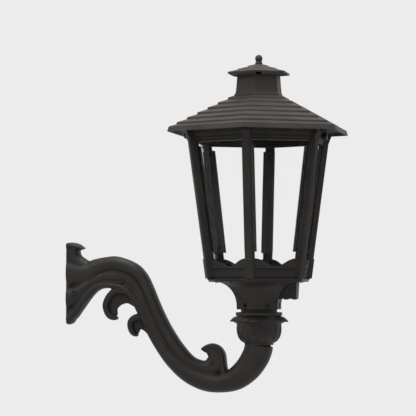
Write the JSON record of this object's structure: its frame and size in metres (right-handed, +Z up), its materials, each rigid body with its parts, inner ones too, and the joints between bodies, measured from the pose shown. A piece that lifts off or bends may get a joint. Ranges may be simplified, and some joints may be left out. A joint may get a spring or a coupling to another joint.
{
  "type": "wall bracket gas lantern",
  "caption": "Hexagonal glazed gas lantern with stepped hip roof and vented chimney cap, on a cast S-scroll leaf wall bracket.",
  "frame": {"origin": "centre of the bracket's flat mounting face, midway between its two bolt holes", "axes": "+X out from the wall to the lantern, +Z up, +Y to the lamp's rear side"},
  "size_m": [0.5878, 0.406, 0.709],
  "materials": {
    "casting": "satin",
    "sheet_metal": "satin",
    "steel": "satin",
    "brass": "satin",
    "copper": "satin",
    "ceramic": "matte",
    "plastic": "matte",
    "glass": "gloss"
  },
  "bodies": {
    "bracket_and_lantern": {"arm_front_half": "casting", "arm_rear_half": "casting", "leaf_collar": "casting", "lamp_base": "casting", "lower_frame_ring": "casting", "upper_frame_ring": "casting", "control_box": "casting", "control_box_cover": "casting", "corner_post_1": "casting", "corner_post_2": "casting", "corner_post_3": "casting", "corner_post_4": "casting", "corner_post_5": "casting", "corner_post_6": "casting", "hinge_frame_leaf": "sheet_metal", "floor_plate": "sheet_metal", "glass_retainer_1": "sheet_metal", "glass_retainer_2": "sheet_metal", "glass_retainer_3": "sheet_metal", "glass_retainer_4": "sheet_metal", "glass_retainer_5": "sheet_metal", "glass_retainer_6": "sheet_metal", "arm_screws": "steel", "tenon_screws": "steel", "fitter_set_screws": "steel", "base_screws": "steel", "control_box_screws": "steel", "retainer_screws": "steel", "hinge_pin": "steel", "mounting_plate": "steel", "gas_cock_body": "brass", "burner_tube": "brass", "burner_nut": "brass", "gas_inlet_nut": "brass", "gas_supply_tube": "copper", "post_tenon": "casting", "burner_tip": "ceramic", "control_module": "plastic", "glass_pane_1": "glass", "glass_pane_2": "glass", "glass_pane_3": "glass", "glass_pane_4": "glass", "glass_pane_5": "glass", "glass_pane_6": "glass"},
    "roof": {"roof": "casting", "chimney": "casting", "cap_bridge": "sheet_metal", "cap_stud": "steel", "cap_spacer": "steel", "vent_cap": "casting", "finial_nut": "casting", "hinge_roof_leaf": "sheet_metal", "lock_tab": "sheet_metal"},
    "gas_cock_knob": {"gas_cock_knob": "brass"},
    "roof_lock_screw": {"roof_lock_screw": "steel"}
  },
  "joints": [
    {"name": "roof_hinge", "type": "hinge", "parent": "bracket_and_lantern", "child": "roof", "pos_m": [0.262, 0, 0.315], "axis": [0, -1, 0], "range_deg": [0, 95]},
    {"name": "gas_cock_turn", "type": "hinge", "parent": "bracket_and_lantern", "child": "gas_cock_knob", "pos_m": [0.412, 0, -0.023], "axis": [0.5, 0.866, 0], "range_deg": [0, 90]},
    {"name": "roof_lock_turn", "type": "hinge", "parent": "bracket_and_lantern", "child": "roof_lock_screw", "pos_m": [0.412, 0, 0.309], "axis": [1, 0, 0], "continuous": true}
  ]
}
